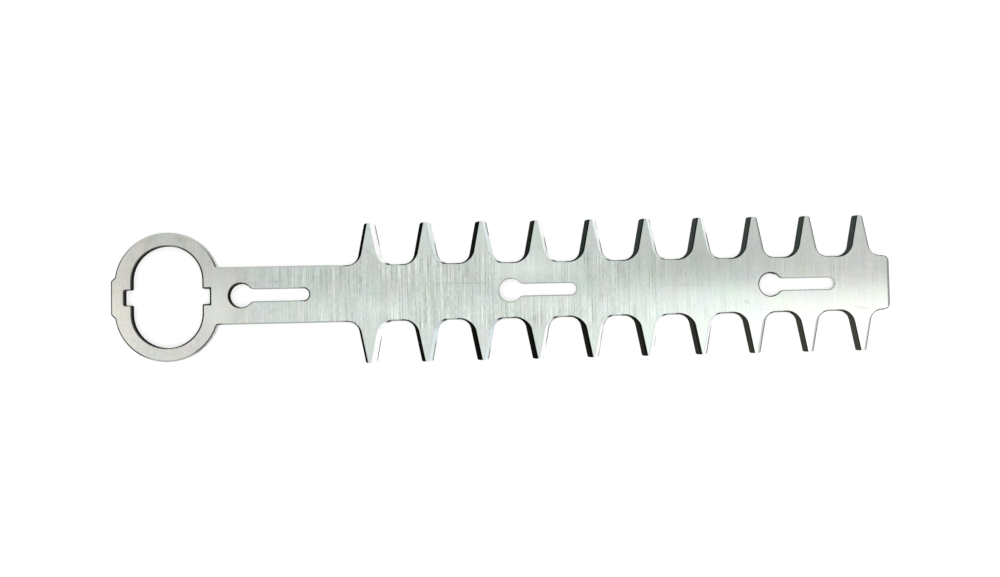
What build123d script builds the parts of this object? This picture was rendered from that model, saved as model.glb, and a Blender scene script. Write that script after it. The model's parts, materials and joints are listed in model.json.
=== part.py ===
"""A reciprocating pruning machine blade, stamped from one steel sheet and ground.

The blade lies flat. X runs along it, from the drive eye towards its square end,
and Y runs across it. The origin is on the axis of the drive eye, in the lower
face, which slides on the other blade of the machine. All sizes are millimetres.
"""

import os
from math import radians, tan

from build123d import *

# Sheet
plate_thickness = 3.0
edge_break_width = 0.9
edge_break_depth = 0.5
hole_break_width = 0.6
hole_break_depth = 0.3

# Drive eye, longer across the blade than along it, and the ring around it
eye_width = 42.9
eye_height = 63.4
ring_side_wall = 10.15
ring_end_wall = 8.5

# Notches on both sides of the eye
notch_depth = 4.5
notch_height = 9.4
notch_corner_radius = 1.0

# Pad on the free side of the ring, with slanted shoulders
pad_proud = 2.2
pad_height = 20.8
pad_shoulder_angle = 45.0
pad_corner_radius = 1.2

# Neck and spine, one straight strip from the ring to the square end
spine_width = 36.0
neck_length = 92.4
end_margin = 19.4
end_corner_radius = 4.8
end_bevel_width = 1.6
end_bevel_depth = 0.8
ring_corner_radius = 1.2

# Teeth on both edges of the spine
tooth_count = 10
tooth_pitch = 35.0
tip_to_tip = 88.0
tip_land = 1.4
tip_corner_radius = 1.2
flank_angle = 11.0
gullet_flat = 6.3

# Bevels: how far the ground sides of the teeth lean in over the sheet's thickness
flank_bevel = 2.8
gullet_bevel = 1.0
wheel_overrun = 3.0

# Keyhole slots that run on the guide bolts
keyhole_count = 3
first_keyhole_offset = 13.2
last_keyhole_margin = 78.7
keyhole_length = 49.3
entry_diameter = 14.8
slot_width = 7.5
slot_mouth_radius = 4.5

# Two places nearer than this count as one
same_place = 0.001

# Ring and pad, from the eye outwards
ring_width = eye_width + 2 * ring_side_wall
ring_height = eye_height + 2 * ring_end_wall
pad_reach = ring_width / 2 + pad_proud
pad_depth = pad_proud + ring_side_wall / 2

# Places along the blade, from the ring's side to the square end
tooth_row = tooth_pitch * (tooth_count - 1)
middle_tooth_x = ring_width / 2 + neck_length + tooth_row / 2
blade_reach = middle_tooth_x + tooth_row / 2 + end_margin
first_keyhole_x = ring_width / 2 + first_keyhole_offset
keyhole_row = blade_reach - last_keyhole_margin - first_keyhole_x

# Half the gap between two teeth in the lower face, at the tips and the flanks' foot
spine_edge = spine_width / 2
tip_edge = tip_to_tip / 2
flank_slope = tan(radians(flank_angle))
tip_half_gap = (tooth_pitch - tip_land) / 2 - flank_bevel
foot_half_gap = tip_half_gap - (tip_edge - spine_edge) * flank_slope
tooth_half_foot = (tooth_pitch - gullet_flat) / 2


def wheel_outline(bevel, bottom_bevel):
    """Draw the gap between two teeth, widened by the bevels, with its root rounds."""
    bottom = spine_edge - bottom_bevel
    mouth = tip_edge + wheel_overrun
    foot = foot_half_gap + bevel - bottom_bevel * flank_slope
    mouth_half_gap = foot + (mouth - bottom) * flank_slope
    root_radius = (foot - gullet_flat / 2) / tan(radians(90 - flank_angle) / 2)
    with BuildSketch(mode=Mode.PRIVATE) as gap:
        with BuildLine():
            Polyline(
                (-mouth_half_gap, mouth),
                (-foot, bottom),
                (foot, bottom),
                (mouth_half_gap, mouth),
                close=True,
            )
        make_face()
        fillet(gap.vertices().group_by(Axis.Y)[0], root_radius)
    return gap.sketch


# What the grinding wheel takes out between two teeth, wider at the upper face
with BuildPart() as wheel_path:
    with BuildSketch():
        add(wheel_outline(0, 0))
    with BuildSketch(Plane.XY.offset(plate_thickness)):
        add(wheel_outline(flank_bevel, gullet_bevel))
    loft(ruled=True)

# One keyhole, drawn about the centre of its round entry
with BuildSketch() as keyhole:
    slot_run = keyhole_length - (entry_diameter + slot_width) / 2
    Circle(entry_diameter / 2)
    with Locations((slot_run / 2, 0)):
        SlotCenterToCenter(slot_run, slot_width)
    fillet(keyhole.vertices().group_by(Axis.X)[0], slot_mouth_radius)

with BuildPart() as blade:
    # Ring, pad, neck and spine, sheared in one outline with its upper edge broken
    with BuildSketch() as outline:
        SlotOverall(ring_height, ring_width, rotation=90)
        with Locations((-pad_reach, 0)):
            Trapezoid(
                pad_height + 2 * pad_depth / tan(radians(pad_shoulder_angle)),
                pad_depth,
                pad_shoulder_angle,
                rotation=90,
                align=(Align.CENTER, Align.MAX),
            )
        Rectangle(blade_reach, spine_width, align=(Align.MIN, Align.CENTER))
        fillet(outline.vertices().group_by(Axis.X)[-1], end_corner_radius)
        fillet(outline.vertices().group_by(Axis.X)[0], pad_corner_radius)
        ring_corners = outline.vertices().filter_by(
            lambda v: v.X < ring_width / 2 and abs(abs(v.Y) - spine_edge) < same_place
        )
        fillet(ring_corners, ring_corner_radius)
    extrude(amount=plate_thickness)
    upper_face = blade.faces().sort_by(Axis.Z)[-1]
    outer_edges = upper_face.outer_wire().edges()
    chamfer(outer_edges, edge_break_width, edge_break_depth, reference=upper_face)

    # Teeth on both edges, sheared with rounded tips, and then ground to their bevels
    with BuildSketch() as teeth:
        with Locations((middle_tooth_x, 0)):
            Rectangle(tooth_row + 2 * tooth_half_foot, tip_to_tip)
            with GridLocations(tooth_pitch, 0, tooth_count + 1, 1):
                add(wheel_outline(0, 0), mode=Mode.SUBTRACT)
                add(wheel_outline(0, 0), rotation=180, mode=Mode.SUBTRACT)
        tip_corners = teeth.vertices().filter_by(
            lambda v: abs(abs(v.Y) - tip_edge) < same_place
        )
        fillet(tip_corners, tip_corner_radius)
    extrude(amount=plate_thickness)
    with Locations((middle_tooth_x, 0)):
        with GridLocations(tooth_pitch, 0, tooth_count + 1, 1):
            add(wheel_path.part, mode=Mode.SUBTRACT)
            add(wheel_path.part, rotation=(0, 0, 180), mode=Mode.SUBTRACT)

    # Upper edge of the square end, ground down to a shallow bevel
    with BuildSketch(Plane.XZ):
        with BuildLine():
            Polyline(
                (blade_reach - end_bevel_width, plate_thickness),
                (blade_reach, plate_thickness),
                (blade_reach, plate_thickness - end_bevel_depth),
                close=True,
            )
        make_face()
    extrude(amount=spine_width, both=True, mode=Mode.SUBTRACT)

    # Drive eye with its notches, and the keyholes
    with BuildSketch() as openings:
        SlotOverall(eye_height, eye_width, rotation=90)
        Rectangle(eye_width + 2 * notch_depth, notch_height)
        notch_corners = openings.vertices().filter_by(
            lambda v: abs(abs(v.Y) - notch_height / 2) < same_place
        )
        fillet(notch_corners, notch_corner_radius)
        with Locations((first_keyhole_x + keyhole_row / 2, 0)):
            with GridLocations(keyhole_row / (keyhole_count - 1), 0, keyhole_count, 1):
                add(keyhole.sketch)
    extrude(amount=plate_thickness, mode=Mode.SUBTRACT)
    upper_face = blade.faces().filter_by(Axis.Z).sort_by(Axis.Z)[-1]
    hole_edges = upper_face.edges() - upper_face.outer_wire().edges()
    chamfer(hole_edges, hole_break_width, hole_break_depth, reference=upper_face)

blade.part.label = "blade"
os.makedirs("parts", exist_ok=True)
export_step(blade.part, "parts/blade.step")
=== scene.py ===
# %% [markdown]
# # A pruning machine blade in ground steel
# The real blade is one strip of tool steel, cut from sheet and then ground: a ring that the
# machine's cam drives, a neck, and a spine with ten teeth on each edge. Every form is already
# in the solid that is loaded here, so this lesson adds no shape. It gives the steel its finish,
# lays it on a white floor under soft light, and puts a camera where the photographer stood.

# %% Load the finished solid
import json
from math import cos, pi, radians, sin, tan

import bpy
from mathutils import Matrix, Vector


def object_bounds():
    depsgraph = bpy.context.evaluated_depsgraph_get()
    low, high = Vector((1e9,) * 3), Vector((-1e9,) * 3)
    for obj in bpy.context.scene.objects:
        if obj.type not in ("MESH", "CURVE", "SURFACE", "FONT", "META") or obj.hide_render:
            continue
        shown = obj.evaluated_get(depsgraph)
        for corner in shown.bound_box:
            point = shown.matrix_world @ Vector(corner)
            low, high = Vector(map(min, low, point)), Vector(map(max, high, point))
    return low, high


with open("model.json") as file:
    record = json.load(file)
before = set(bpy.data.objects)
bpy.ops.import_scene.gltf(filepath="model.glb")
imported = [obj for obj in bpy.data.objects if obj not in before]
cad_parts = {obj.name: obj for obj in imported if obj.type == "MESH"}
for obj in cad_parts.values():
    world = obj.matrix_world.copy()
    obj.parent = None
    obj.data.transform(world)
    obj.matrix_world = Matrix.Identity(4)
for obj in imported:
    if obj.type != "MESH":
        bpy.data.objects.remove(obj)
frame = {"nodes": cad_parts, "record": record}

cad_low, cad_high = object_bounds()
blade = frame["nodes"]["blade"]
print("blade, mm:", [round(side * 1000, 1) for side in cad_high - cad_low])
print("triangles:", len(blade.data.polygons))

# %% [markdown]
# ## An empty material and five helpers
# A finish could be painted on an image, but a picture needs unwrapped faces and blurs close
# up. Nodes that read the place of each point on the blade stay sharp at any distance. Object
# coordinates are metres in the blade's own frame, so a grinding line half a millimetre wide is
# simply asked for at that width. Five small helpers keep the wiring short. Most numbers below
# come in pairs: where a change starts and where it is complete.

# %% Start the steel
steel = bpy.data.materials.new("ground_steel")
steel.use_nodes = True
nodes = steel.node_tree.nodes
links = steel.node_tree.links
shader = nodes["Principled BSDF"]
print("the steel's shader is", shader.name)


# %% Helpers that wire the nodes
def plug(socket, value):
    """Wire a socket to another socket, or set a plain value on it."""
    if isinstance(value, bpy.types.NodeSocket):
        links.new(value, socket)
    else:
        socket.default_value = value


def sum_of(operation, first, second):
    """Do one sum on two numbers."""
    made = nodes.new("ShaderNodeMath")
    made.operation = operation
    plug(made.inputs[0], first)
    plug(made.inputs[1], second)
    return made.outputs["Value"]


def ease(value, start, end, low=0.0, high=1.0):
    """Ease from low to high while a value goes from start to end."""
    made = nodes.new("ShaderNodeMapRange")
    made.interpolation_type = "SMOOTHSTEP"
    plug(made.inputs["Value"], value)
    plug(made.inputs["From Min"], start)
    plug(made.inputs["From Max"], end)
    plug(made.inputs["To Min"], low)
    plug(made.inputs["To Max"], high)
    return made.outputs["Result"]


def between(share, low, high):
    """Ease from low to high while a share goes from 0 to 1."""
    return ease(share, 0.0, 1.0, low, high)


def lay_over(share, under, over, manner="MIX"):
    """Lay one colour over another, as paint or as a tint, by a share from 0 to 1."""
    made = nodes.new("ShaderNodeMix")
    made.data_type = "RGBA"
    made.blend_type = manner
    inputs = {socket.identifier: socket for socket in made.inputs}
    outputs = {socket.identifier: socket for socket in made.outputs}
    plug(inputs["Factor_Float"], share)
    plug(inputs["A_Color"], under)
    plug(inputs["B_Color"], over)
    return outputs["Result_Color"]


print("helpers ready, with", len(nodes), "nodes to start from")

# %% [markdown]
# ## Where a point lies and which way it looks
# The finish differs from zone to zone. The flat faces look up or down, the walls of the holes
# look sideways, and the bevels and broken edges look between. So each point is asked for its
# normal and for its place, and both come in the blade's own frame.

# %% Place and direction
FLAT_LEVELNESS = (0.92, 0.98)
WALL_LEVELNESS = (0.40, 0.15)
TOP_FACING = (0.0, 0.5)

place = nodes.new("ShaderNodeTexCoord")


def parts_of(vector):
    """Split a vector into its three numbers."""
    made = nodes.new("ShaderNodeSeparateXYZ")
    links.new(vector, made.inputs["Vector"])
    return made.outputs["X"], made.outputs["Y"], made.outputs["Z"]


along, across, height = parts_of(place.outputs["Object"])
faces_end, faces_back, faces_up = parts_of(place.outputs["Normal"])
off_axis = sum_of("ABSOLUTE", across, 0.0)
levelness = sum_of("ABSOLUTE", faces_up, 0.0)
on_flat = ease(levelness, *FLAT_LEVELNESS)
on_wall = ease(levelness, *WALL_LEVELNESS)
on_top = ease(faces_up, *TOP_FACING)
print("zones come from the normal and the place, in metres")

# %% [markdown]
# ## The teeth, the slots and the rim as zones
# The bevels of the teeth are ground, the other edges are only broken with a file, and the slots
# are rubbed bright by their guide bolts. A zone is a product of soft steps along and across the
# blade. The keyholes repeat, so the place along the blade is wrapped round their pitch, and a
# stretch of a keyhole is counted in radii of its round entry. The outer wall of the ring looks
# away from the eye's axis and the eye's own wall looks towards it.

# %% Zones of teeth and rim
TOOTH_PITCH = 0.035
TOOTH_COUNT = 10
FIRST_TOOTH = 0.124
ROW_OVERHANG = 0.4 * TOOTH_PITCH
SPINE_HALF_WIDTH = 0.018
RING_HALF_WIDTH = 0.0316
BEFORE_NECK = (RING_HALF_WIDTH + 0.004, RING_HALF_WIDTH + 0.002)
RIM_STEP = 0.001
ZONE_EDGE = 0.0008

last_tooth = FIRST_TOOTH + TOOTH_PITCH * (TOOTH_COUNT - 1)


def both(first, second):
    """Where two zones overlap."""
    return sum_of("MULTIPLY", first, second)


def span(value, start, end):
    """One between start and end, zero outside, with soft edges."""
    past_start = ease(value, start - ZONE_EDGE, start + ZONE_EDGE)
    before_end = ease(value, end + ZONE_EDGE, end - ZONE_EDGE)
    return both(past_start, before_end)


spine_edge = SPINE_HALF_WIDTH - 2 * ZONE_EDGE
beside_spine = ease(off_axis, spine_edge - ZONE_EDGE / 2, spine_edge + ZONE_EDGE / 2)
row_start = FIRST_TOOTH - TOOTH_PITCH / 2
row_end = last_tooth + ROW_OVERHANG
on_teeth = both(beside_spine, span(along, row_start, row_end))
outward = sum_of("ADD", both(along, faces_end), both(across, faces_back))
on_rim = both(ease(outward, -RIM_STEP, RIM_STEP), ease(along, *BEFORE_NECK))
print("teeth from", FIRST_TOOTH, "to", round(last_tooth, 3), "m")

# %% Zones of the keyholes
ENTRY_STRETCH = (-1.2, 0.85)
SLOT_STRETCH = (1.0, 7.0)
BRIGHT_STRETCH = (0.4, 7.0)
ENTRY_SIDE = (0.0095, 0.0088)
SLOT_SIDE = (0.0072, 0.0064)

mounts = {mount["name"]: mount for mount in frame["record"]["mounts"]}
first_keyhole = mounts["keyhole_entry_1"]["pos_m"][0]
keyhole_pitch = mounts["keyhole_entry_2"]["pos_m"][0] - first_keyhole
entry_radius = mounts["keyhole_entry_1"]["dims"]["r_mm"] / 1000


def in_keyhole(value, stretch, side):
    """A stretch of every keyhole, counted in radii of its entry, out to its side."""
    start, end = stretch
    return both(span(value, start * entry_radius, end * entry_radius), ease(off_axis, *side))


past_entry = sum_of("MODULO", sum_of("SUBTRACT", along, first_keyhole), keyhole_pitch)
half_pitch_on = sum_of("ADD", along, keyhole_pitch / 2 - first_keyhole)
wrapped = sum_of("MODULO", half_pitch_on, keyhole_pitch)
entry_offset = sum_of("SUBTRACT", wrapped, keyhole_pitch / 2)
in_entry = in_keyhole(entry_offset, ENTRY_STRETCH, ENTRY_SIDE)
in_slot = in_keyhole(past_entry, SLOT_STRETCH, SLOT_SIDE)
slot_wall = in_keyhole(past_entry, BRIGHT_STRETCH, ENTRY_SIDE)
print("keyholes every", round(keyhole_pitch, 4), "m")

# %% [markdown]
# ## Grinding lines
# A surface grinder leaves fine lines across the blade. Each line is long and thin, so a noise
# pattern is squeezed along the blade and stretched across it. Fine strokes and coarse strokes
# run straight, and a patchy noise lets them come and go. Short hair lines lie between them, and
# broad bands show the passes of the wheel.

# %% Grain of the ground face
HAIR_WIDTH = 0.00036
HAIR_LENGTH = 0.0030
FINE_WIDTH = 0.00050
COARSE_WIDTH = 0.00110
STROKE_LENGTH = 0.060
BAND_WIDTH = 0.0045
BAND_LENGTH = 0.030


def grain(width, length, detail=2.0):
    """Noise drawn out into lines across the blade."""
    lines = nodes.new("ShaderNodeMapping")
    links.new(place.outputs["Object"], lines.inputs["Vector"])
    lines.inputs["Scale"].default_value = (1 / width, 1 / length, 1 / length)
    made = nodes.new("ShaderNodeTexNoise")
    links.new(lines.outputs["Vector"], made.inputs["Vector"])
    made.inputs["Scale"].default_value = 1.0
    made.inputs["Detail"].default_value = detail
    return made.outputs["Fac"]


hair_lines = grain(HAIR_WIDTH, HAIR_LENGTH)
fine_strokes = grain(FINE_WIDTH, STROKE_LENGTH, detail=0.0)
coarse_strokes = grain(COARSE_WIDTH, STROKE_LENGTH, detail=1.0)
bands = grain(BAND_WIDTH, BAND_LENGTH)
print("hair lines per centimetre:", round(0.01 / (2 * HAIR_WIDTH), 1))

# %% Lines put together
PATCH_WIDTH = 0.0030
PATCH_LENGTH = 0.0065
PATCH_NOISE = (0.36, 0.62)
PATCH_LOW = 0.15
COARSE_WEIGHT = 0.7
HAIR_WEIGHT = 0.55
BAND_WEIGHT = 0.35


def weighed(*pairs):
    """Add up numbers, each with its weight."""
    total = 0.0
    for value, weight in pairs:
        total = sum_of("ADD", total, sum_of("MULTIPLY", value, weight))
    return total


def swing(noise):
    """Noise counted from its middle, so that it lightens and darkens alike."""
    return sum_of("SUBTRACT", noise, 0.5)


patches = ease(grain(PATCH_WIDTH, PATCH_LENGTH), *PATCH_NOISE, low=PATCH_LOW)
strokes = weighed((swing(fine_strokes), 1.0), (swing(coarse_strokes), COARSE_WEIGHT))
line_tone = weighed(
    (both(patches, strokes), 1.0),
    (swing(hair_lines), HAIR_WEIGHT),
    (swing(bands), BAND_WEIGHT),
)
print("the strokes come and go in patches of", PATCH_WIDTH * 1000, "mm")

# %% [markdown]
# ## Tone of the ground face
# Ground steel is a pale grey, here with a slight green cast, and warmer towards both ends. The
# ring's left end is painted lighter as well, partly its own warm tint and partly painted light.
# The lines are strongest on the first half of the spine. The ring is only stoned, and the far
# end has been polished smooth, so the contrast of the lines swells and fades along the blade, and
# it falls off on the teeth. A cloudy tint keeps the face from looking printed, and small mottles
# take the place of the lines on the ring and on the teeth.

# %% Face colour
FACE_COLOUR = (0.605, 0.660, 0.617, 1.0)
RING_COLOUR = (0.600, 0.606, 0.570, 1.0)
# Painted light: the ring's left end is lighter, besides its warm tint.
PAD_TINT_AND_LIGHT = (0.740, 0.725, 0.670, 1.0)
END_COLOUR = (0.640, 0.666, 0.628, 1.0)
TO_END = (0.33, 0.43)
TO_RING = (0.070, 0.025)
TO_PAD = (-0.005, -0.036)
CLOUD_SIZE = 0.012
CLOUD_DETAIL = 4.0
CLOUD_SHARE = 0.20


def blotches(size, detail):
    """Noise that runs no way, in spots of one size."""
    made = nodes.new("ShaderNodeTexNoise")
    links.new(place.outputs["Object"], made.inputs["Vector"])
    made.inputs["Scale"].default_value = 1 / size
    made.inputs["Detail"].default_value = detail
    return made.outputs


spine_face = lay_over(ease(along, *TO_END), FACE_COLOUR, END_COLOUR)
ring_face = lay_over(ease(along, *TO_PAD), RING_COLOUR, PAD_TINT_AND_LIGHT)
plain_face = lay_over(ease(along, *TO_RING), spine_face, ring_face)
clouds = blotches(CLOUD_SIZE, CLOUD_DETAIL)["Color"]
clouded_face = lay_over(CLOUD_SHARE, plain_face, clouds, "SOFT_LIGHT")
print("face colour", FACE_COLOUR[:3], "turning to", RING_COLOUR[:3], "and", END_COLOUR[:3])

# %% Lines and mottles on the face
LINE_CONTRAST = 1.4
LINES_SWELL = (0.00, 0.15)
LINES_ON_RING = 0.13
LINES_FADE = (0.19, 0.42)
LINES_AT_END = 0.22
LINES_ON_TEETH = 0.2
MOTTLE_SIZE = 0.0028
MOTTLE_DETAIL = 3.0
MOTTLES_SWELL = (0.11, 0.03)
MOTTLES_ON_SPINE = 0.11
MOTTLES_ON_RING = 0.26
MOTTLES_ON_TEETH = 0.2
TOOTH_SIDE = (0.017, 0.027)
TOOTH_START = (0.085, 0.105)

on_tooth_side = both(ease(off_axis, *TOOTH_SIDE), ease(along, *TOOTH_START))
line_swell = ease(along, *LINES_SWELL, LINES_ON_RING, 1.0)
line_fade = ease(along, *LINES_FADE, 1.0, LINES_AT_END)
line_calm = between(on_tooth_side, 1.0, LINES_ON_TEETH)
line_reach = both(both(line_swell, line_fade), line_calm)
line_swing = both(both(line_tone, LINE_CONTRAST), line_reach)
mottle = blotches(MOTTLE_SIZE, MOTTLE_DETAIL)["Fac"]
mottle_swell = ease(along, *MOTTLES_SWELL, MOTTLES_ON_SPINE, MOTTLES_ON_RING)
mottle_reach = sum_of("MAXIMUM", mottle_swell, both(on_tooth_side, MOTTLES_ON_TEETH))
mottle_swing = both(swing(mottle), mottle_reach)
line_shade = weighed((line_swing, 1.0), (mottle_swing, 1.0), (1.0, 1.0))
lined_face = lay_over(1.0, clouded_face, line_shade, "MULTIPLY")
print("lines keep", LINES_AT_END, "of their contrast at the square end")

# %% [markdown]
# ## Marks of handling
# A few long hairlines, a scuff near the square end and some dull smudges lie on the face, and
# other places are rubbed a little paler. Each one is a round spot that a Mapping node stretches,
# turns and puts in its place. The grinding lines break the dark ones up, so none has a clean rim.
# Every mark below has its middle and half sizes in metres, its turn in degrees and its depth.

# %% Hairlines, scuff, smudges and rubs
HAIRLINE = 0.00045
DARK_MARKS = {
    "hairline before the middle slot": ((0.1838, 0.0050), (0.0240, HAIRLINE), -1.2, 0.64),
    "hairline after the middle slot": ((0.3240, 0.0008), (0.0240, HAIRLINE), -1.3, 0.46),
    "scratch on the spine": ((0.2640, 0.0072), (0.0060, HAIRLINE), -59.0, 0.44),
    "line beside the last slot": ((0.3805, -0.0162), (0.0130, HAIRLINE), -3.0, 0.30),
    "scuff by the square end": ((0.4397, -0.0163), (0.0085, 0.0012), -10.0, 0.42),
    "smudge over the first slot": ((0.0660, 0.0084), (0.0060, 0.0016), 4.0, 0.36),
    "smudge under the first slot": ((0.0665, -0.0095), (0.0080, 0.0022), 12.0, 0.18),
    "smudge on the ring's right": ((0.0088, 0.0357), (0.0060, 0.0030), -18.0, 0.40),
    "smudge on the ring's left": ((-0.0096, 0.0355), (0.0055, 0.0026), 30.0, 0.36),
    "smudge on the first tooth": ((0.1236, 0.0258), (0.0050, 0.0017), -45.0, 0.30),
    "dull patch before the first tooth": ((0.1130, 0.0170), (0.0180, 0.0120), 0.0, 0.18),
    "dull patch between the slots": ((0.3350, 0.0180), (0.0600, 0.0200), 0.0, 0.24),
    "specks before the last slot": ((0.3639, -0.0110), (0.0030, 0.0016), -15.0, 0.42),
}
PALE_RUBS = {
    "rub beside the eye": ((0.0290, -0.0020), (0.0150, 0.0260), 0.0, 0.55),
    "rub under the first teeth": ((0.1320, -0.0105), (0.0240, 0.0110), 0.0, 0.42),
    "rub over the middle slot": ((0.2250, 0.0135), (0.0400, 0.0130), 0.0, 0.80),
    "rub under the middle slot": ((0.2360, -0.0090), (0.0300, 0.0080), 0.0, 0.34),
}
print("marks on the face:", len(DARK_MARKS) + len(PALE_RUBS))

# %% Marks laid on the face
MARK_COLOUR = (0.25, 0.26, 0.245, 1.0)
RUB_COLOUR = (0.80, 0.86, 0.81, 1.0)
BREAKING_STROKES = (0.30, 0.60)
BROKEN_DEPTH = 0.35


def spot(centre, size, turn):
    """One at the middle of a stretched and turned spot, fading to zero at its rim."""
    seat = nodes.new("ShaderNodeMapping")
    seat.vector_type = "TEXTURE"
    links.new(place.outputs["Object"], seat.inputs["Vector"])
    seat.inputs["Location"].default_value = (*centre, 0.0)
    seat.inputs["Rotation"].default_value = (0.0, 0.0, radians(turn))
    seat.inputs["Scale"].default_value = (*size, 1.0)
    made = nodes.new("ShaderNodeTexGradient")
    made.gradient_type = "SPHERICAL"
    links.new(seat.outputs["Vector"], made.inputs["Vector"])
    return made.outputs["Fac"]


def spots_of(marks):
    """Add up all the spots of one kind on the upper face, each with its depth."""
    made = [(spot(*seat), depth) for *seat, depth in marks.values()]
    return both(weighed(*made), on_top)


rubbed_face = lay_over(spots_of(PALE_RUBS), lined_face, RUB_COLOUR)
breaking = ease(fine_strokes, *BREAKING_STROKES, low=BROKEN_DEPTH)
marked_face = lay_over(both(spots_of(DARK_MARKS), breaking), rubbed_face, MARK_COLOUR)
print("the ground and marked face takes", len(nodes), "nodes so far")

# %% [markdown]
# ## Bevels of the teeth
# Both flanks of each tooth are ground to a bevel. The flanks that look back to the ring carry
# painted shade, near black, blackest on the first teeth and along the upper edge. Those that look
# to the square end carry a painted reflection, white to pale blue, with painted shade on the last
# three teeth and, in places, at the foot of the bevel. A wheel held by hand never bites evenly.
# It took a strip of the face along with the middle teeth, which gets the same painted shade, and
# on the first tooth it left the top of the bevel bare, so that part keeps the face's colour. To
# draw that strip, nodes measure the distance from the upper edge of the bevel: a slanted line
# along the tooth and an arc at its root.

# %% Where each tooth stands
TIP_EDGE = 0.044
TIP_HALF_LAND = 0.0007
FLANK_ANGLE = radians(11.0)
ROOT_RADIUS = 0.0102
ROOT_CENTRE = 0.0272
GULLET_HALF_FLAT = 0.00315
SIDE_STEP = 0.01
ROOT_STEP = 0.0001


def length_of(first, second):
    """The long side of a right triangle."""
    return sum_of("SQRT", sum_of("ADD", both(first, first), both(second, second)), 0.0)


def tooth_at(number):
    """Where a tooth stands along the blade, in metres, counted from one."""
    return FIRST_TOOTH + (number - 1) * TOOTH_PITCH


def past_teeth(start, end):
    """Ease from zero to one from one tooth to another, in fractions of the pitch."""
    return ease(along, tooth_at(start), tooth_at(end))


upper_side = ease(across, -SIDE_STEP, SIDE_STEP)
in_pitch = sum_of("MODULO", sum_of("SUBTRACT", along, tooth_at(0.5)), TOOTH_PITCH)
past_flat = sum_of("MAXIMUM", sum_of("SUBTRACT", in_pitch, GULLET_HALF_FLAT), 0.0)
below_centre = sum_of("SUBTRACT", ROOT_CENTRE, off_axis)
from_root = sum_of("SUBTRACT", length_of(past_flat, below_centre), ROOT_RADIUS)
half_axis = TIP_HALF_LAND + TIP_EDGE * tan(FLANK_ANGLE)
half_face = weighed((off_axis, -tan(FLANK_ANGLE)), (1.0, half_axis))
past_flank = sum_of("SUBTRACT", sum_of("ADD", in_pitch, half_face), TOOTH_PITCH / 2)
root_end = ROOT_CENTRE - ROOT_RADIUS * sin(FLANK_ANGLE)
on_straight = ease(off_axis, root_end - ROOT_STEP, root_end + ROOT_STEP)
from_flank = between(on_straight, from_root, both(past_flank, cos(FLANK_ANGLE)))
print("the roots end", round(root_end * 1000, 1), "mm from the blade's axis")

# %% Painted shade on the bevels that look back
BACK_SHADE_UPPER = (0.053, 0.066, 0.059, 1.0)
BACK_SHADE_LOWER = (0.063, 0.062, 0.053, 1.0)
PALING_UPPER = (0.15, 0.34)
PALING_LOWER = (0.22, 0.46)
BLACKEST = 0.2
CREST_HEIGHT = 0.0022
CREST_STEP = 0.0005
CREST_SHADE = 0.3
BARE_UPPER = 0.0026
BARE_LOWER = 0.0018
BARE_STEP = 0.0003
BARE_TEETH = (1.4, 1.2)

# Painted shade: these bevels are painted near black, palest towards the square end, darker at
# their crest.
back_shade_colour = lay_over(upper_side, BACK_SHADE_LOWER, BACK_SHADE_UPPER)
paling_start = between(upper_side, PALING_LOWER[0], PALING_UPPER[0])
paling_end = between(upper_side, PALING_LOWER[1], PALING_UPPER[1])
back_shade_crest = ease(height, CREST_HEIGHT, CREST_HEIGHT + CREST_STEP, 1.0, CREST_SHADE)
back_shade_depth = both(ease(along, paling_start, paling_end, low=BLACKEST), back_shade_crest)
back_shade_grain = sum_of("ADD", hair_lines, 0.5)
back_shade = lay_over(1.0, back_shade_colour, both(back_shade_depth, back_shade_grain), "MULTIPLY")
bare_height = between(upper_side, BARE_LOWER, BARE_UPPER)
bare_crest = ease(height, bare_height, sum_of("ADD", bare_height, BARE_STEP))
bare_top = both(bare_crest, past_teeth(*BARE_TEETH))
back_bevel_shade = lay_over(bare_top, back_shade, marked_face)
print("the dark bevels pale until", PALING_UPPER[1], "and", PALING_LOWER[1], "m")

# %% Painted shade on the strip that the wheel took off the face
STRIP_UPPER = 0.00040
STRIP_LOWER = 0.00085
STRIP_SOFTNESS = 0.00012
STRIP_ROOT = (0.0172, 0.0250)
STRIP_FACING = (0.5, 0.9)
BITE_START = (1.5, 3.2)
BITE_END = (8.2, 7.2)

# Painted shade: the strip beside the dark bevels gets the same painted shade as those bevels.
deep_bite = both(past_teeth(*BITE_START), past_teeth(*BITE_END))
bite_width = between(upper_side, STRIP_LOWER, STRIP_UPPER)
strip_width = both(both(deep_bite, bite_width), ease(off_axis, *STRIP_ROOT))
strip_rim = sum_of("ADD", strip_width, STRIP_SOFTNESS)
strip = ease(from_flank, strip_rim, sum_of("SUBTRACT", strip_width, STRIP_SOFTNESS))
wide_enough = both(ease(strip_width, 0.0, STRIP_SOFTNESS), ease(faces_up, *STRIP_FACING))
strip_shaded_face = lay_over(both(strip, wide_enough), marked_face, back_shade)
print("the strip beside the dark bevels is up to", STRIP_LOWER * 1000, "mm wide")

# %% Painted reflection on the bevels that look to the square end
WHITE_REFLECTION = (1.0, 1.0, 1.0, 1.0)
BRIGHT_REFLECTION = (0.90, 0.94, 0.92, 1.0)
TINTED_REFLECTION = (0.66, 0.73, 0.74, 1.0)
LAST_BEVEL_SHADE_UPPER = (0.56, 0.58, 0.56, 1.0)
LAST_BEVEL_SHADE_LOWER = (0.64, 0.66, 0.64, 1.0)
CREST_LINE = (0.60, 0.64, 0.63, 1.0)
FOOT_SHADE_COLOUR = (0.06, 0.065, 0.065, 1.0)
UPPER_TINT = 0.5
EDGE_HEIGHTS = (0.0009, 0.0019)
FOOT_SHADE_BANDS = (0.42, 0.56)
SHADED_TEETH = (7, 8)
SECOND_TOOTH = (1.3, 1.6)
UNTINTED_TEETH = (3.8, 3.3)

# Painted reflection: these bevels are painted white to pale blue, with a grey line along their
# crest.
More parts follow.
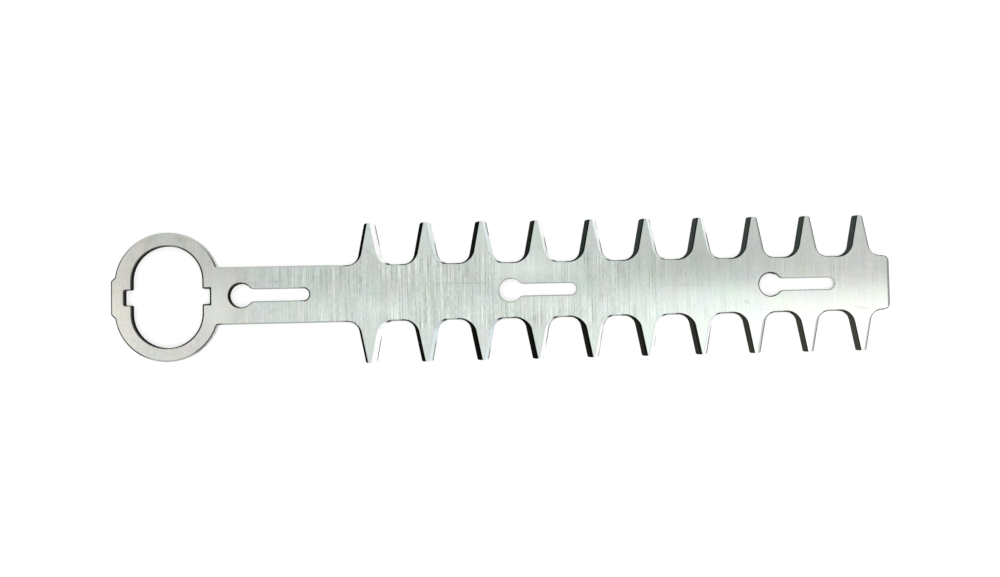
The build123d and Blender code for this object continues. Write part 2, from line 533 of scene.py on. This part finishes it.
on_last_teeth = past_teeth(*SHADED_TEETH)
past_first_tooth = past_teeth(*SECOND_TOOTH)
# Painted shade: on the last three teeth these bevels are painted grey instead.
last_bevel_shade = lay_over(upper_side, LAST_BEVEL_SHADE_LOWER, LAST_BEVEL_SHADE_UPPER)
white_reflection = lay_over(both(upper_side, past_first_tooth), WHITE_REFLECTION, BRIGHT_REFLECTION)
tinted_teeth = both(past_first_tooth, past_teeth(*UNTINTED_TEETH))
tint = both(tinted_teeth, between(upper_side, 1.0, UPPER_TINT))
pale_reflection = lay_over(tint, white_reflection, TINTED_REFLECTION)
crest = both(ease(height, CREST_HEIGHT, CREST_HEIGHT + CREST_STEP), past_first_tooth)
crested_reflection = lay_over(crest, pale_reflection, CREST_LINE)
end_bevel_reflection = lay_over(on_last_teeth, crested_reflection, last_bevel_shade)
# Painted shade: the foot of these bevels is painted darker, on the last teeth and in bands.
edge_height = ease(along, tooth_at(1), tooth_at(TOOTH_COUNT), *EDGE_HEIGHTS)
foot_shade_reach = sum_of("MAXIMUM", on_last_teeth, ease(bands, *FOOT_SHADE_BANDS))
foot_shade = both(ease(height, edge_height, 0.0), foot_shade_reach)
foot_shaded_reflection = lay_over(foot_shade, end_bevel_reflection, FOOT_SHADE_COLOUR)
print("bright bevels turn dull after", round(tooth_at(SHADED_TEETH[0]), 3), "m")

# %% [markdown]
# ## Gullets
# The wheel rounds the bottom of each gullet too. Some are pale and some carry the painted shade
# of the dark flanks, with no order in it, so a colour ramp along the row holds one share for each
# gullet. The half towards the next tooth keeps that painted shade, because it runs into that
# tooth's flank.

# %% Gullets between the teeth
GULLET_COLOUR = (0.56, 0.60, 0.57, 1.0)
GULLET_PALENESS_UPPER = (0.95, 0.10, 0.40, 0.85, 0.45, 0.55, 0.15, 0.00, 0.00)
GULLET_PALENESS_LOWER = (0.60, 0.70, 0.15, 0.60, 0.95, 0.60, 0.00, 0.00, 0.50)
GULLET_FACING_BACK = (-0.12, -0.02)
GULLET_FACING_END = (0.30, 0.10)
PALE_HEIGHT = (0.0013, 0.0019)
FLANK_FACING_END = (0.30, 0.58)

from_first_tooth = sum_of("SUBTRACT", along, tooth_at(1))
row_share = sum_of("DIVIDE", from_first_tooth, last_tooth - FIRST_TOOTH)


def paleness_along(shares):
    """Read how pale each gullet is, free of the painted shade, from a ramp along the row of
    teeth.
    """
    made = nodes.new("ShaderNodeValToRGB")
    links.new(row_share, made.inputs["Fac"])
    stops = made.color_ramp.elements
    for number, share in enumerate(shares):
        stop = stops.new((number + 0.5) / len(shares))
        stop.color = (share, share, share, 1.0)
    stops.remove(stops[-1])
    stops.remove(stops[0])
    return made.outputs["Color"]


gullet_bottom = both(ease(faces_end, *GULLET_FACING_BACK), ease(faces_end, *GULLET_FACING_END))
from_tooth_zero = sum_of("ADD", along, TOOTH_PITCH - tooth_at(1))
past_tooth = sum_of("MODULO", from_tooth_zero, TOOTH_PITCH)
in_gullet = sum_of("SUBTRACT", past_tooth, TOOTH_PITCH / 2)
lower_paleness = paleness_along(GULLET_PALENESS_LOWER)
upper_paleness = paleness_along(GULLET_PALENESS_UPPER)
gullet_paleness = lay_over(upper_side, lower_paleness, upper_paleness)
pale_share = sum_of("MAXIMUM", gullet_paleness, ease(height, *PALE_HEIGHT))
bright_half = ease(in_gullet, GULLET_HALF_FLAT, 0.0)
bright_gullet = both(both(gullet_bottom, pale_share), bright_half)
# Painted shade: where a gullet is not pale, and below its pale top, it keeps the painted shade of
# the dark bevels.
dark_side = lay_over(bright_gullet, back_bevel_shade, GULLET_COLOUR)
tooth_bevel = lay_over(ease(faces_end, *FLANK_FACING_END), dark_side, foot_shaded_reflection)
print("gullets on each edge:", len(GULLET_PALENESS_UPPER))

# %% [markdown]
# ## Broken edges and cut walls
# All other upper edges are only broken with a file. They carry painted shade, darkest on those on
# the ring's side that look away from the teeth and round the entries, and lighter on the neck,
# under the ring, in the slots, round the middle keyhole and at the square end. The far edge of
# the ring and neck carries painted light instead. The walls of the holes carry a near-black
# painted shade, but the slots are rubbed bright, and the outer walls of the ring and neck are
# bright steel too. The hair lines run down every wall as the fine marks of the cut.

# %% Zones of the broken edges
BEFORE_END = (0.452, 0.449)
SIDE_START = (0.0140, 0.0160)
FAR_FACING = (0.15, 0.45)
BACK_FACING = (-0.10, -0.30)
BEFORE_TEETH = (0.12, 0.10)
FIRST_SLOT_END = (0.081, 0.090)
NECK_STEP = 0.003
MIDDLE_START = (0.15, 0.18)
MIDDLE_END = (0.30, 0.27)
UNDER_RING = (-0.032, -0.036)
NEAR_FACING = (-0.36, -0.46)

short_of_end = ease(along, *BEFORE_END)
at_end = sum_of("SUBTRACT", 1.0, short_of_end)
far_edge = both(ease(across, *SIDE_START), ease(faces_back, *FAR_FACING))
looks_back = both(ease(faces_end, *BACK_FACING), ease(along, *BEFORE_TEETH))
first_slot_end = both(in_slot, span(along, *FIRST_SLOT_END))
past_ring = ease(along, RING_HALF_WIDTH, RING_HALF_WIDTH + NECK_STEP)
on_neck = both(past_ring, ease(off_axis, *SIDE_START))
middle_keyhole = both(ease(along, *MIDDLE_START), ease(along, *MIDDLE_END))
lighter_keyhole = sum_of("SUBTRACT", sum_of("MAXIMUM", in_slot, middle_keyhole), first_slot_end)
dark_entry = both(in_entry, sum_of("SUBTRACT", 1.0, middle_keyhole))
middle_entry = both(in_entry, middle_keyhole)
under_ring = both(ease(across, *UNDER_RING), ease(faces_back, *NEAR_FACING))
print("the square end's zone starts at", BEFORE_END[0], "m")

# %% Painted shade and painted light on the broken edges
EDGE_SHADE = (0.110, 0.114, 0.108, 1.0)
DEEPEST_SHADE = (0.035, 0.036, 0.034, 1.0)
END_SHADE = (0.270, 0.280, 0.270, 1.0)
LIT_EDGE = (0.60, 0.64, 0.61, 1.0)
KEYHOLE_EDGE_SHADE = (0.400, 0.420, 0.400, 1.0)
NECK_EDGE_SHADE = (0.500, 0.530, 0.500, 1.0)

# Painted shade on the broken edges, in several depths, and painted light on the far edges.
edge_shade_mark = lay_over(short_of_end, END_SHADE, EDGE_SHADE)
keyhole_shade_mark = lay_over(both(lighter_keyhole, short_of_end), edge_shade_mark, KEYHOLE_EDGE_SHADE)
under_or_neck = sum_of("MAXIMUM", on_neck, under_ring)
light_edge = both(sum_of("MAXIMUM", under_or_neck, middle_entry), short_of_end)
neck_mark = lay_over(light_edge, keyhole_shade_mark, NECK_EDGE_SHADE)
dark_edge = sum_of("MAXIMUM", looks_back, dark_entry)
back_mark = lay_over(dark_edge, neck_mark, DEEPEST_SHADE)
broken_edge = lay_over(both(far_edge, short_of_end), back_mark, LIT_EDGE)
slope_colour = lay_over(on_teeth, broken_edge, tooth_bevel)
print("the edges take", len(nodes), "nodes so far")

# %% Colours of the walls, with painted shade in the holes
WALL_SHADE = (0.030, 0.027, 0.024, 1.0)
OUTER_WALL = (0.80, 0.82, 0.79, 1.0)
BRIGHT_WALL = (0.88, 0.90, 0.88, 1.0)
HAIR_NOISE = (0.3, 0.7)
CUT_SHADES = (0.72, 1.04)

outside = sum_of("MAXIMUM", sum_of("MAXIMUM", on_rim, on_neck), at_end)
# Painted shade: the walls of the holes are painted near black; the slots and the outer walls are
# not.
outer_wall = lay_over(outside, WALL_SHADE, OUTER_WALL)
plain_wall = lay_over(slot_wall, outer_wall, BRIGHT_WALL)
cut_marks = ease(hair_lines, *HAIR_NOISE, *CUT_SHADES)
wall_colour = lay_over(1.0, plain_wall, cut_marks, "MULTIPLY")
edge_colour = lay_over(on_wall, slope_colour, wall_colour)
print("the marks of the cut go down to", CUT_SHADES[0], "of a wall's colour")

# %% [markdown]
# ## Painted shadows beside the holes
# Beside some of the holes a rim of the face is painted dark: a painted shadow, as if cast into
# the hole. It could be painted by hand, but nodes can measure the distance from the outline of a
# hole: an arc's radius is taken away from the distance to its centre. The dark rims lie on the
# right of the eye, over the first and last entries and round the end of the first slot. The
# square end is rolled too, and its rounded edge is drawn as painted shade on the face.

# %% Painted shadow beside the eye
EYE_RADIUS = 0.02145
EYE_STRAIGHT = 0.01025
EYE_SIDE = (0.0, 0.012)
NOTCH_END = 0.02595
NOTCH_HALF_HEIGHT = 0.0047
SHADOW_RIM_WIDTH = 0.0010
SHADOW_RIM_SOFTNESS = 0.0001


def rim(distance, width):
    """One beside an outline, out to a width, with a soft edge."""
    return ease(distance, width + SHADOW_RIM_SOFTNESS, width - SHADOW_RIM_SOFTNESS)


past_straight = sum_of("MAXIMUM", sum_of("SUBTRACT", off_axis, EYE_STRAIGHT), 0.0)
from_eye = sum_of("SUBTRACT", length_of(along, past_straight), EYE_RADIUS)
# Painted shadow: a dark rim on the face along the right of the eye and its notch.
beside_eye = both(rim(from_eye, SHADOW_RIM_WIDTH), ease(along, *EYE_SIDE))
shadow_end = NOTCH_END + SHADOW_RIM_WIDTH
shadow_half = NOTCH_HALF_HEIGHT + SHADOW_RIM_WIDTH
notch_start = ease(along, EYE_RADIUS, EYE_RADIUS + SHADOW_RIM_WIDTH)
notch_along = both(notch_start, ease(along, shadow_end + SHADOW_RIM_SOFTNESS, shadow_end))
beside_notch = both(notch_along, ease(off_axis, shadow_half + SHADOW_RIM_SOFTNESS, shadow_half))
eye_shadow = sum_of("MAXIMUM", beside_eye, beside_notch)
print("the eye's burr is", SHADOW_RIM_WIDTH * 1000, "mm wide")

# %% Painted shadows beside the keyholes and painted shade on the rolled end
SLOT_RUN = 0.03815
SLOT_HALF_WIDTH = 0.00375
SLOT_END_STEP = 0.001
THIN_SHADOW_RIM = 0.00085
FIRST_TO_LAST = (0.10, 0.30)
SHADOW_FROM = (0.002, -0.004)
SHADOW_RISE = 0.006
SHADOW_DEPTHS = (1.0, 0.7)
MOUTH_FADE = (0.75, 0.55)
END_ROLL = (0.0026, 0.0004)
ROLL_SHADE_DEPTH = 0.9

from_entry = sum_of("SUBTRACT", length_of(entry_offset, across), entry_radius)
shadow_from = ease(along, *FIRST_TO_LAST, *SHADOW_FROM)
shadow_depth = ease(along, *FIRST_TO_LAST, *SHADOW_DEPTHS)
shadow_side = ease(across, shadow_from, sum_of("ADD", shadow_from, SHADOW_RISE), 0.0, shadow_depth)
short_of_slot = ease(entry_offset, *[share * entry_radius for share in MOUTH_FADE])
entry_zone = both(both(dark_entry, shadow_side), short_of_slot)
# Painted shadow: dark rims over the first and last entries and round the end of the first slot.
entry_shadow = both(rim(from_entry, THIN_SHADOW_RIM), entry_zone)
past_slot = sum_of("SUBTRACT", along, first_keyhole + SLOT_RUN)
from_slot = sum_of("SUBTRACT", length_of(past_slot, across), SLOT_HALF_WIDTH)
slot_shadow = both(rim(from_slot, THIN_SHADOW_RIM), ease(past_slot, 0.0, SLOT_END_STEP))
hole_shadow = sum_of("MAXIMUM", eye_shadow, sum_of("MAXIMUM", entry_shadow, slot_shadow))
hole_shadowed_face = lay_over(both(hole_shadow, on_top), strip_shaded_face, DEEPEST_SHADE)
# Painted shade: the face darkens towards the rolled square end, where its rounded edge is not
# modelled.
roll_start, roll_end = [cad_high.x - inset for inset in END_ROLL]
roll_shade = ease(along, roll_start, roll_end, high=ROLL_SHADE_DEPTH)
roll_shaded_face = lay_over(both(roll_shade, on_top), hole_shadowed_face, END_SHADE)
steel_colour = lay_over(on_flat, edge_colour, roll_shaded_face)
links.new(steel_colour, shader.inputs["Base Color"])
links.new(steel_colour, shader.inputs["Specular Tint"])
print("the colour takes", len(nodes), "nodes so far")

# %% [markdown]
# ## Gloss
# Ground steel mirrors sharply along its lines and smears across them, so a highlight is drawn
# out along the blade. That is anisotropy: the tangent tells the shader which way to smear. It is
# the cross product of the grinding direction and the normal, so it lies in every face. Walls that
# look straight along the grinding direction would get no tangent, so a little height is added.
# Bevels and walls are rougher than the face.

# %% Gloss of the steel
GRINDING_DIRECTION = (0.0, 1.0, 0.0)
SIDE_SMEAR = (0.0, 0.0, 0.02)
SMEAR = 0.8
TONE_RANGE = (-0.2, 0.2)
FACE_BLUR = (0.17, 0.23)
EDGE_BLUR = (0.36, 0.46)
POLISH_START = (0.20, 0.32)
POLISH = 0.03

shader.inputs["Metallic"].default_value = 1.0
shader.inputs["Anisotropic"].default_value = SMEAR
lined_blur = ease(line_tone, *TONE_RANGE, *FACE_BLUR)
polish = ease(along, *POLISH_START, high=POLISH)
face_blur = sum_of("SUBTRACT", lined_blur, polish)
edge_blur = ease(hair_lines, *HAIR_NOISE, *EDGE_BLUR)
links.new(between(on_flat, edge_blur, face_blur), shader.inputs["Roughness"])
smear = nodes.new("ShaderNodeVectorMath")
smear.operation = "CROSS_PRODUCT"
smear.inputs[0].default_value = GRINDING_DIRECTION
links.new(place.outputs["Normal"], smear.inputs[1])
side_smear = nodes.new("ShaderNodeVectorMath")
side_smear.operation = "ADD"
links.new(smear.outputs["Vector"], side_smear.inputs[0])
side_smear.inputs[1].default_value = SIDE_SMEAR
links.new(side_smear.outputs["Vector"], shader.inputs["Tangent"])
print("highlights smear at right angles to", GRINDING_DIRECTION)

# %% [markdown]
# ## Relief
# The lines are real grooves, only far too fine to model. A Bump node bends the normal as if they
# were there, two hundredths of a millimetre deep, so the lines also glint when the light moves.

# %% Relief of the grinding lines
LINE_DEPTH = 0.00002
LINE_RELIEF = 0.3

relief = nodes.new("ShaderNodeBump")
relief.inputs["Strength"].default_value = LINE_RELIEF
relief.inputs["Distance"].default_value = LINE_DEPTH
links.new(line_tone, relief.inputs["Height"])
links.new(relief.outputs["Normal"], shader.inputs["Normal"])

blade.data.materials.clear()
blade.data.materials.append(steel)
print("the steel has", len(nodes), "nodes and", len(links), "links")

# %% [markdown]
# ## Floor
# The blade lies on a plain white floor. Part of the floor's white is its own, for the camera and
# for mirror images, and the rest is the light that falls on it, so it keeps a soft shadow.

# %% Floor
FLOOR_SIDE = 12.0
FLOOR_GAP = 0.0002
FLOOR_COLOUR = (0.52, 0.52, 0.52, 1.0)
FLOOR_ROUGHNESS = 0.9
FLOOR_OWN_WHITE = 0.54
WHITE = (1.0, 1.0, 1.0, 1.0)

middle = (cad_low + cad_high) / 2
floor_place = (middle.x, middle.y, cad_low.z - FLOOR_GAP)
bpy.ops.object.select_all(action="DESELECT")
bpy.ops.mesh.primitive_plane_add(size=FLOOR_SIDE, location=floor_place)
floor = bpy.context.object
floor.name = "floor"
paper = bpy.data.materials.new("white_paper")
paper.use_nodes = True
floor.data.materials.append(paper)
print("floor", FLOOR_SIDE, "m wide")

# %% White paper
paper_nodes = paper.node_tree.nodes
paper_links = paper.node_tree.links
paper_shader = paper_nodes["Principled BSDF"]
paper_shader.inputs["Base Color"].default_value = FLOOR_COLOUR
paper_shader.inputs["Roughness"].default_value = FLOOR_ROUGHNESS
paper_shader.inputs["Specular IOR Level"].default_value = 0.0
paper_shader.inputs["Emission Color"].default_value = WHITE
ray = paper_nodes.new("ShaderNodeLightPath")
own_white = ray.outputs["Is Camera Ray"]
for kind in ("Is Glossy Ray", "Is Transmission Ray"):
    either = paper_nodes.new("ShaderNodeMath")
    either.operation = "MAXIMUM"
    paper_links.new(own_white, either.inputs[0])
    paper_links.new(ray.outputs[kind], either.inputs[1])
    own_white = either.outputs["Value"]
dimmer = paper_nodes.new("ShaderNodeMath")
dimmer.operation = "MULTIPLY"
paper_links.new(own_white, dimmer.inputs[0])
dimmer.inputs[1].default_value = FLOOR_OWN_WHITE
paper_links.new(dimmer.outputs["Value"], paper_shader.inputs["Emission Strength"])
print("the paper's own white is", FLOOR_OWN_WHITE)

# %% [markdown]
# ## Light
# An even bright room lights everything about as its colour is written, and soft boxes hang
# overhead for the steel to mirror. A long dim one and a brighter one share the near side, so that
# the near half of the face shines, most of all towards the square end. Two weak ones over them
# lift the near teeth. They hang a little higher, because lights in one plane hide each other. A
# dim one on the far side lifts the far teeth. Each one below has its left end, right end and near
# edge in metres, its radiance and how far it hangs above the others. The last box stands low
# beyond the square end, because the bevels that look that way mirror the room near the floor.

# %% Room and soft boxes
ROOM_LIGHT = 0.86
BOX_HEIGHT = 1.0
BOX_DEPTH = 1.1
BOX_SPLIT = 0.40
NEAR_BOX_EDGE = 0.045
SOFT_BOXES = {
    "long_box": (-1.3, BOX_SPLIT, NEAR_BOX_EDGE - BOX_DEPTH, 0.24, 0.0),
    "bright_box": (BOX_SPLIT, 1.7, NEAR_BOX_EDGE - BOX_DEPTH, 0.60, 0.0),
    "tooth_box": (0.25, 1.7, -0.01 - BOX_DEPTH, 0.10, 0.02),
    "end_box": (0.62, 1.7, 0.01 - BOX_DEPTH, 0.22, 0.04),
    "far_box": (-0.30, 0.30, 0.10, 0.18, 0.0),
}

world = bpy.data.worlds.new("even_room")
bpy.context.scene.world = world
world.use_nodes = True
world.node_tree.nodes["Background"].inputs["Color"].default_value = WHITE
world.node_tree.nodes["Background"].inputs["Strength"].default_value = ROOM_LIGHT


def soft_box(name, left, right, near, radiance, lift):
    """Hang a flat light overhead, as bright as a surface of that radiance."""
    lamp = bpy.data.lights.new(name, "AREA")
    lamp.shape = "RECTANGLE"
    lamp.size = right - left
    lamp.size_y = BOX_DEPTH
    lamp.energy = radiance * pi * lamp.size * lamp.size_y
    box = bpy.data.objects.new(name, lamp)
    box.location = ((left + right) / 2, near + BOX_DEPTH / 2, BOX_HEIGHT + lift)
    bpy.context.scene.collection.objects.link(box)
    print(name, "gives", round(lamp.energy, 2), "W")


for name, measures in SOFT_BOXES.items():
    soft_box(name, *measures)

# %% Standing light
STAND_PLACE = (2.2, 0.0, 0.5)
STAND_TILT = (0.0, radians(90.0), 0.0)
STAND_WIDTH = 2.0
STAND_HEIGHT = 0.5
STAND_RADIANCE = 1.0

stand = bpy.data.lights.new("standing_box", "AREA")
stand.shape = "RECTANGLE"
stand.size = STAND_HEIGHT
stand.size_y = STAND_WIDTH
stand.energy = STAND_RADIANCE * pi * STAND_HEIGHT * STAND_WIDTH
standing_box = bpy.data.objects.new("standing_box", stand)
standing_box.location = STAND_PLACE
standing_box.rotation_euler = STAND_TILT
bpy.context.scene.collection.objects.link(standing_box)
print("the standing box gives", round(stand.energy, 2), "W")

# %% [markdown]
# ## Camera
# The photograph looks almost straight down from under half a metre. Its optical axis passes to
# the right of the picture's middle, because the picture was cropped, and the lens shift says so.

# %% Camera
IMAGE_WIDTH = 1000
IMAGE_HEIGHT = 577
SENSOR_WIDTH = 36.0
NEAREST = 0.01
FOCAL_PIXELS = 704.0
AXIS_PIXEL = (592.2, 307.9)
CAMERA_PLACE = (0.2426, -0.0224, 0.4513)
CAMERA_TURN = (1.255, -2.727, -1.283)

lens = bpy.data.cameras.new("photographer")
lens.sensor_width = SENSOR_WIDTH
lens.lens = FOCAL_PIXELS / IMAGE_WIDTH * SENSOR_WIDTH
lens.shift_x = (IMAGE_WIDTH / 2 - AXIS_PIXEL[0]) / IMAGE_WIDTH
lens.shift_y = (AXIS_PIXEL[1] - IMAGE_HEIGHT / 2) / IMAGE_WIDTH
lens.clip_start = NEAREST
camera = bpy.data.objects.new("photographer", lens)
camera.location = CAMERA_PLACE
camera.rotation_mode = "ZYX"
camera.rotation_euler = [radians(turn) for turn in CAMERA_TURN]
bpy.context.scene.collection.objects.link(camera)
bpy.context.scene.camera = camera
bpy.context.scene.view_settings.view_transform = "Standard"
print("lens", round(lens.lens, 2), "mm, shift", round(lens.shift_x, 4), round(lens.shift_y, 4))
